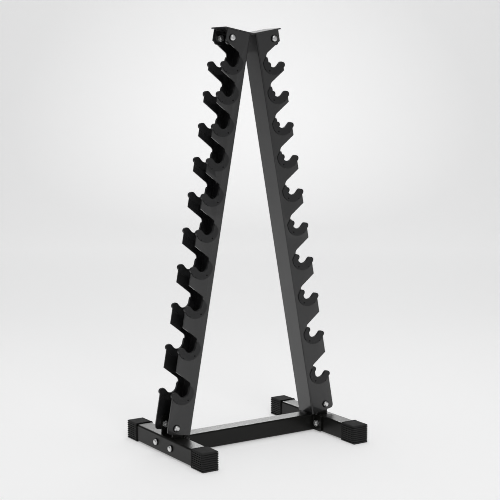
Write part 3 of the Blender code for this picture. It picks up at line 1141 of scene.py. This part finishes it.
@dataclass
class FootCap:
    """A ribbed rubber sleeve over a tube's end."""

    layout: Layout
    corner: float = 5 * MM
    end_corner: float = 4.5 * MM
    grooves: int = 8
    groove_width: float = 3.0 * MM
    groove_depth: float = 2.3 * MM
    end_wall: float = 5 * MM
    lip_proud: float = 0.8 * MM
    lip_length: float = 3.5 * MM
    lip_edge: float = 0.8 * MM
    rib_edge: float = 0.35 * MM
    play: float = 0.3 * MM
    ring_margin: float = 9 * MM
    ring_past_mouth: tuple[float, float] = (40 * MM, 30 * MM)  # a ring's outer and inner edge
    pocket_past_mouth: float = 20 * MM
    pocket_corner: float = 2.6 * MM

    def ring_cutter(self, low: Vector, high: Vector) -> bpy.types.Object:
        """A stack of rings that leaves the ribs between its members.

        Args:
            low: The cap's lowest corner.
            high: The cap's highest corner.

        Returns:
            The cutter.
        """
        depth = self.groove_depth
        pitch = (high.z - low.z) / (self.grooves + 1)
        margin = self.ring_margin
        outer_end, inner_end = (high.y + past for past in self.ring_past_mouth)
        outer = rounded_rectangle(
            (low.x - margin, low.y - margin), (high.x + margin, outer_end), 1 * MM
        )
        inner = rounded_rectangle(
            (low.x + depth, low.y + depth), (high.x - depth, inner_end), self.corner - depth
        )
        rings = extruded("rings", [outer, inner], self.groove_width, Axis.Z)
        rings.data.transform(Matrix.Translation((0, 0, low.z + pitch)))
        repeat(rings, self.grooves, (0, 0, pitch))
        # the grooves' faces take this near-black rubber: painted shade in the grooves
        rings.data.materials.append(SHADE_PAINTED_RUBBER.material())
        return rings

    def pocket(self, low: Vector, high: Vector) -> bpy.types.Object:
        """The space that the tube's end fills.

        Args:
            low: The cap's lowest corner.
            high: The cap's highest corner.

        Returns:
            The cutter.
        """
        half = self.layout.tube_side / 2 + self.play
        middle = (low.x + high.x) / 2
        pocket = add_block(
            "pocket",
            (middle - half, low.y + self.end_wall, self.layout.tube_centre - half),
            (middle + half, high.y + self.pocket_past_mouth, self.layout.tube_centre + half),
        )
        round_edges(pocket, lambda _, way: abs(way.y) > FACING, self.pocket_corner, 4)
        # the faces inside the cap's mouth take this near-black rubber: painted shade inside the mouth
        pocket.data.materials.append(SHADE_PAINTED_RUBBER.material())
        return pocket

    def lip(self, low: Vector, high: Vector) -> bpy.types.Object:
        """The thicker rim round the cap's mouth, drawn near black as painted shade at the mouth.

        Args:
            low: The cap's lowest corner.
            high: The cap's highest corner.

        Returns:
            The rim.
        """
        proud = self.lip_proud
        rim = add_block(
            "lip",
            (low.x - proud, high.y - self.lip_length, low.z),
            (high.x + proud, high.y + proud, high.z + proud),
        )
        round_edges(rim, lambda _, way: abs(way.y) > FACING, self.corner, 6)
        cut(rim, self.pocket(low, high))
        soften(rim, self.lip_edge, 3)
        # the rim is drawn near black: painted shade at the mouth
        rim.data.materials.append(SHADE_PAINTED_RUBBER.material())
        return rim

    def build(self) -> None:
        """Model the right front cap and copy it to the other three ends."""
        low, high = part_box("right_front_foot_cap")
        cap = add_block("cap", low, high)
        round_edges(
            cap,
            lambda middle, way: (
                (abs(way.z) > FACING or abs(way.x) > FACING and middle.z > self.layout.tube_centre)
                and middle.y < low.y + SAME_PLACE
                or abs(way.y) > FACING
            ),
            self.end_corner,
            6,
        )
        cap.data.materials.append(PRESSED_RUBBER.material())
        cut(cap, self.ring_cutter(low, high))
        cut(cap, self.pocket(low, high))
        soften(cap, self.rib_edge)
        cap = join([cap, self.lip(low, high)], "cap")
        for side in Side:
            for end in End:
                node = f"{side.label}_{end.label}_foot_cap"
                place = side.turn
                if end.sign * side.sign > 0:
                    about = Matrix.Translation((low.x + high.x, 0, 0))
                    place = side.turn @ about @ Matrix.Rotation(math.pi, 4, "Z")
                dress(placed_copy(cap, "made_" + node, place), PRESSED_RUBBER, node)
        bpy.data.objects.remove(cap)


@dataclass
class Crossbar:
    """The tube between the feet, with a plate welded to each end.

    The plates aren't drilled here as the CAD's are: the hidden shanks run through them.
    """

    layout: Layout
    plate: float = 5 * MM
    plate_shy: float = 1 * MM
    plate_corner: float = 4 * MM
    plate_edge: float = 0.5 * MM
    sunk: float = 0.5 * MM
    tube_edge: float = 0.4 * MM
    bead_inset: float = 9 * MM

    def build(self) -> None:
        """Make the tube, its end plates and their welds, and dress them."""
        low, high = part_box("crossbar")
        inner = high.x - self.plate
        centre = (0.0, 0.0, self.layout.tube_centre)
        side = self.layout.tube_side
        tube = Tube(side, 2 * (inner + self.sunk)).build("crossbar", centre, Axis.X)
        soften(tube, self.tube_edge)
        pieces = [tube]
        for half in Side:
            face = half.sign * inner
            plate = add_block(
                "end_plate",
                (min(face, face + half.sign * self.plate), low.y, low.z + self.plate_shy),
                (max(face, face + half.sign * self.plate), high.y, high.z - self.plate_shy),
            )
            round_edges(plate, lambda _, way: abs(way.x) > FACING, self.plate_corner, 5)
            soften(plate, self.plate_edge)
            pieces.append(plate)
            reach = side / 2 - self.bead_inset
            for across, sign in ((True, 1), (False, 1), (False, -1)):
                edge = sign * side / 2
                ends = (
                    ((face, -reach, side / 2), (face, reach, side / 2))
                    if across
                    else ((face, edge, -reach), (face, edge, reach))
                )
                lifted = [(x, y, z + self.layout.tube_centre) for x, y, z in ends]
                pieces.append(weld_bead("bead", *lifted))
        dress(join(pieces, "made_crossbar"), BASE_COAT, "crossbar")


@dataclass
class TopBracket:
    """A shallow V plate over both channels, with an ear inside each flange.

    The ears aren't drilled here as the CAD's are: the hidden shanks run through them.
    """

    layout: Layout
    notch: Notch
    plate: float = 4 * MM
    gap: float = 0.3 * MM
    overhang: float = 8 * MM
    side_margin: float = 2 * MM
    ear: float = 5 * MM
    ear_width: float = 32 * MM
    ear_length: float = 42 * MM
    sheet: float = 4 * MM
    sunk: float = 1 * MM
    plate_edge: float = 0.6 * MM

    def vee(self) -> bpy.types.Object:
        """The folded plate.

        Returns:
            The plate.
        """
        tip = self.notch.flange_width + self.overhang
        heights = (self.gap, self.gap + self.plate)
        right = [self.layout.to_right @ Vector((tip, 0, up)) for up in heights]
        lean = self.layout.lean
        middle = []
        for up in heights:
            across = (up * math.sin(lean) - self.layout.top.x) / math.cos(lean)
            middle.append((self.layout.to_right @ Vector((across, 0, up))).z)
        outline = [
            (right[0].x, right[0].z),
            (right[1].x, right[1].z),
            (0.0, middle[1]),
            (-right[1].x, right[1].z),
            (-right[0].x, right[0].z),
            (0.0, middle[0]),
        ]
        depth = self.layout.channel_depth + 2 * self.side_margin
        return extruded("vee", [outline], depth, Axis.Y)

    def build(self) -> None:
        """Make the plate and its ears, and dress them."""
        vee = self.vee()
        soften(vee, self.plate_edge)
        pieces = [vee]
        bolt = self.layout.local("right_front_top_bolt")
        middle = self.layout.channel_depth / 2 - self.sheet - self.ear / 2 - self.gap
        left, right = bolt.x - self.ear_width / 2, bolt.x + self.ear_width / 2
        for end in End:
            low_y = end.sign * middle - self.ear / 2
            high = (right, low_y + self.ear, self.sunk)
            ear = add_ear((left, low_y, -self.ear_length), high, upright=False)
            soften(ear, EAR_EDGE)
            face = end.sign * (middle - self.ear / 2)
            bead = weld_bead("bead", (left, face, 0), (right, face, 0))
            for piece in (ear, bead):
                for side in Side:
                    place = side.turn @ self.layout.to_right
                    pieces.append(placed_copy(piece, piece.name + side.label, place))
                bpy.data.objects.remove(piece)
        dress(join(pieces, "made_top_bracket"), POWDER_COAT, "top_bracket")


@dataclass
class Bolt:
    """A domed bolt with its washer and hexagon nut, its thread drawn as rings, head along +Z."""

    grip: float
    radius: float = 5 * MM
    head_radius: float = 8.6 * MM
    head_height: float = 5.5 * MM
    washer_radius: float = 10.5 * MM
    washer: float = 1.5 * MM
    nut_across_flats: float = 17 * MM
    nut_height: float = 8 * MM
    past_nut: float = 3 * MM
    thread_pitch: float = 1.5 * MM
    thread_depth: float = 0.5 * MM
    threads: int = 3
    first_thread: float = 1.2 * MM
    ridge: float = 0.9 * MM
    rim: float = 0.9 * MM

    def build(self, name: str) -> bpy.types.Object:
        """Model one bolt whose seat lies on the plane z = 0.

        Args:
            name: The object's name.

        Returns:
            The bolt.
        """
        washer = add_cylinder(
            "washer", (0, 0, self.washer / 2), Axis.Z, self.washer_radius, self.washer, 40
        )
        soften(washer, 0.35 * MM)
        # the washer is drawn near black, which rings each head darkly
        washer.data.materials.append(NEAR_BLACK_WASHER_ZINC.material())
        head = add_cylinder(
            "head",
            (0, 0, self.washer + self.head_height / 2),
            Axis.Z,
            self.head_radius,
            self.head_height,
            40,
        )
        round_edges(
            head,
            lambda middle, way: middle.z > self.washer + self.head_height / 2
            and abs(way.z) < 1 - FACING,
            self.head_height - self.rim,
            8,
        )
        soften(head, 0.2 * MM)
        nut_middle = -self.grip - self.nut_height / 2
        nut = add_cylinder(
            "nut", (0, 0, nut_middle), Axis.Z, self.nut_across_flats / math.sqrt(3), self.nut_height, 6
        )
        soften(nut, 0.9 * MM, 3)
        tip = self.grip + self.nut_height + self.past_nut
        shank = add_cylinder("shank", (0, 0, -tip / 2), Axis.Z, self.radius - self.thread_depth, tip, 32)
        soften(shank, 0.6 * MM)
        lowest = (0, 0, -tip + self.first_thread)
        ridge = add_cylinder("ridge", lowest, Axis.Z, self.radius, self.ridge, 32)
        soften(ridge, 0.3 * MM)
        repeat(ridge, self.threads, (0, 0, self.thread_pitch))
        for piece in (head, nut, shank, ridge):
            piece.data.materials.append(ZINC_PLATE.material())
        return join([washer, head, nut, shank, ridge], name)


@dataclass
class Fasteners:
    """Every bolt of the rack."""

    layout: Layout
    crossbar_spacing: float = 84 * MM
    gap: float = 0.3 * MM
    flange_grip: float = 9.9 * MM
    plate_grip: float = 5.9 * MM

    def flange_bolts(self) -> None:
        """A bolt through each flange, at the top and at the base."""
        master = Bolt(grip=self.flange_grip).build("flange_bolt")
        for side in Side:
            for end in End:
                for level in ("top", "base"):
                    node = f"{side.label}_{end.label}_{level}_bolt"
                    anchor = self.layout.local(f"right_{end.label}_{level}_bolt")
                    outward = end.sign * side.sign
                    seat = outward * (self.layout.channel_depth / 2 + self.gap)
                    turn = Matrix.Rotation(-outward * math.pi / 2, 4, "X")
                    shift = Matrix.Translation((anchor.x, seat, anchor.z))
                    place = side.turn @ self.layout.to_right @ shift @ turn
                    dress(placed_copy(master, "made_" + node, place), ZINC_PLATE, node)
        bpy.data.objects.remove(master)

    def crossbar_bolts(self) -> None:
        """The pair of bolts through each foot into the crossbar's end plate."""
        grip = self.layout.tube_side + self.plate_grip
        master = Bolt(grip=grip).build("crossbar_bolt")
        outer_face = self.layout.foot_offset + self.layout.tube_side / 2 + self.gap
        for side in Side:
            pair = []
            for end in End:
                along = end.sign * self.crossbar_spacing / 2
                shift = Matrix.Translation((outer_face, along, self.layout.tube_centre))
                place = side.turn @ shift @ Matrix.Rotation(math.pi / 2, 4, "Y")
                pair.append(placed_copy(master, "bolt_" + end.label, place))
            node = f"{side.label}_crossbar_bolts"
            dress(join(pair, "made_" + node), ZINC_PLATE, node)
        bpy.data.objects.remove(master)

    def build(self) -> None:
        """Make and place all bolts."""
        self.flange_bolts()
        self.crossbar_bolts()


# ---- studio ----


@dataclass
class Studio:
    """A pale sweep of floor and backdrop, with soft lights and the camera."""

    camera_place: tuple[float, float, float] = (-2.0348, -3.1459, 1.0485)
    yaw: float = math.radians(32.90)
    pitch: float = math.radians(-7.348)
    roll: float = math.radians(-0.07)
    lens_mm: float = 93.07
    shift: tuple[float, float] = (0.0068, 0.0029)
    paper: str = "#EEEEEE"
    glow_reach: float = 5.0
    glow: tuple[tuple[float, str], ...] = ((0.0, "#A4A4A4"), (0.6, "#B4B4B4"), (1.0, "#DEDEDE"))
    glow_height: float = 0.3
    world_colour: str = "#F7F8FA"
    world_strength: float = 0.12
    sweep_width: float = 12.0
    sweep_near: float = 7.0
    sweep_far: float = 7.0
    sweep_radius: float = 2.5
    wall_height: float = 9.0
    aim_height: float = 0.5
    lights: tuple[tuple[str, float, float, float, float, float], ...] = (
        ("overhead_softbox", 0.0, 0.3, 4.2, 4.0, 70.0),
        ("rear_softbox", 1.95, 3.0, 2.3, 1.3, 80.0),
        ("front_softbox", -1.0, -4.5, 3.2, 2.4, 50.0),
        ("front_panel", 2.7, -4.3, 1.0, 2.6, 9.0),
    )
    base_only: tuple[str, ...] = ("rear_softbox",)  # lamps that light nothing but BASE_PIECES

    def sweep(self) -> None:
        """The floor, curved up into the backdrop behind the rack."""
        bpy.ops.object.select_all(action="DESELECT")
        middle = (self.sweep_far - self.sweep_near) / 2
        size = self.sweep_far + self.sweep_near
        bpy.ops.mesh.primitive_plane_add(size=1, location=(0, middle, 0), scale=(1, 1, 1))
        bpy.context.active_object.scale = (self.sweep_width, size, 1)
        sweep = settle("studio_sweep")
        with editing(sweep) as mesh:
            bpy.ops.mesh.select_mode(type="EDGE")
            for edge in mesh.edges:
                edge.select_set(all(vert.co.y > self.sweep_far - SAME_PLACE for vert in edge.verts))
            bmesh.update_edit_mesh(sweep.data)
            bpy.ops.mesh.extrude_region_move(TRANSFORM_OT_translate={"value": (0, 0, self.wall_height)})
        round_edges(
            sweep,
            lambda place, way: (
                abs(way.x) > FACING
                and abs(place.z) < SAME_PLACE
                and place.y > self.sweep_far - SAME_PLACE
            ),
            self.sweep_radius,
            24,
        )
        sweep.data.transform(Matrix.Rotation(-self.yaw, 4, "Z"))
        make_active(sweep)
        bpy.ops.object.shade_smooth()
        sweep.data.materials.append(self.paper_material())

    def paper_material(self) -> bpy.types.Material:
        """Matt studio paper with almost no gloss, that gives light of its own.

        The glow is brightest behind the rack, which keeps the backdrop pale without strong lamps.

        Returns:
            The new material.
        """
        material = bpy.data.materials.new("matt_studio_paper")
        material.use_nodes = True
        tree = material.node_tree
        shader = tree.nodes["Principled BSDF"]
        place = add_node(tree, "ShaderNodeTexCoord").outputs["Object"]
        across, along = math.sin(self.yaw), math.cos(self.yaw)
        centred = add_node(
            tree,
            "ShaderNodeMapping",
            vector_type="TEXTURE",
            Vector=place,
            Location=(self.sweep_far * across, self.sweep_far * along, self.glow_height),
            Scale=(self.glow_reach, self.glow_reach, self.glow_reach),
        )
        glow = add_node(
            tree, "ShaderNodeTexGradient", gradient_type="SPHERICAL", Vector=centred.outputs[0]
        )
        ramp = add_node(tree, "ShaderNodeValToRGB", Fac=glow.outputs["Fac"])
        stops = ramp.color_ramp.elements
        stops.new(self.glow[1][0])
        for stop, (place_on_ramp, tone) in zip(stops, self.glow):
            stop.position, stop.color = place_on_ramp, linear(tone)
        tree.links.new(ramp.outputs["Color"], shader.inputs["Emission Color"])
        shader.inputs["Emission Strength"].default_value = 1.0
        shader.inputs["Base Color"].default_value = linear(self.paper)
        shader.inputs["Roughness"].default_value = 0.9
        shader.inputs["Specular IOR Level"].default_value = 0.1
        return material

    def light(self) -> None:
        """The soft area lights and the even light around them."""
        for name, x, y, z, size, power in self.lights:
            lamp = bpy.data.lights.new(name, "AREA")
            lamp.shape = "DISK"
            lamp.size = size
            lamp.energy = power
            holder = bpy.data.objects.new(name, lamp)
            holder.location = (x, y, z)
            aim = Vector((0, 0, self.aim_height)) - holder.location
            holder.rotation_euler = aim.to_track_quat("-Z", "Y").to_euler()
            bpy.context.scene.collection.objects.link(holder)
            if name in self.base_only:
                holder.light_linking.receiver_collection = BASE_PIECES
        world = bpy.data.worlds.new("soft_room")
        world.use_nodes = True
        background = world.node_tree.nodes["Background"]
        background.inputs["Color"].default_value = linear(self.world_colour)
        background.inputs["Strength"].default_value = self.world_strength
        bpy.context.scene.world = world

    def camera(self) -> None:
        """The camera, about a metre up and to the left of the front."""
        data = bpy.data.cameras.new("camera")
        data.lens = self.lens_mm
        data.sensor_width = 36.0
        data.shift_x, data.shift_y = self.shift
        camera = bpy.data.objects.new("camera", data)
        camera.location = self.camera_place
        tilt = Euler((math.pi / 2 + self.pitch, 0, -self.yaw)).to_matrix()
        camera.rotation_euler = (tilt @ Euler((0, 0, self.roll)).to_matrix()).to_euler()
        bpy.context.scene.collection.objects.link(camera)
        bpy.context.scene.camera = camera

    def build(self) -> None:
        """Set the whole studio up."""
        self.sweep()
        self.light()
        self.camera()
        bpy.context.scene.view_settings.view_transform = "Standard"
        bpy.context.scene.cycles.filter_width = 1.0


def main() -> None:
    """Build every sub-assembly, then the studio."""
    logging.basicConfig(level=logging.INFO, format="%(message)s")
    notch = Notch()
    layout = Layout(notch)
    LOG.info("lean %.4f degrees, drops %s", math.degrees(layout.lean), layout.drops)
    Upright(layout, notch).build()
    Saddle(layout, notch).build()
    Foot(layout).build()
    FootCap(layout).build()
    Crossbar(layout).build()
    TopBracket(layout, notch).build()
    Fasteners(layout).build()
    Studio().build()


if __name__ == "__main__":
    main()
